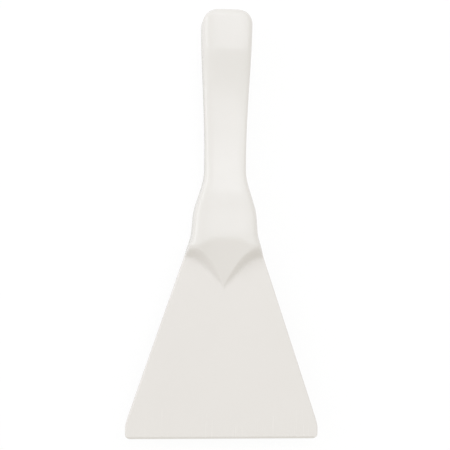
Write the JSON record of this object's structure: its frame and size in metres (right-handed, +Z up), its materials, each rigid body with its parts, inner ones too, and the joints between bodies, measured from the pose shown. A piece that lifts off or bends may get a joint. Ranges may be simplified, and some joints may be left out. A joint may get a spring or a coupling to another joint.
{
  "type": "pan scraper",
  "caption": "Rigid white plastic hand scraper with a wide flat triangular blade, a straight bevelled edge, a tulip-shaped root and a thick rounded handle.",
  "frame": {"origin": "under the middle of the object, on the surface that it lies on", "axes": "+Z up through the thickness, +Y along the handle away from the working edge, +X across the width"},
  "size_m": [0.1142, 0.253, 0.025],
  "materials": {
    "blade_plastic": "satin moulded polypropylene, warm white",
    "handle_plastic": "satin moulded polypropylene, warm white"
  },
  "bodies": {
    "root": {"blade": "blade_plastic", "handle": "handle_plastic"}
  },
  "joints": []
}
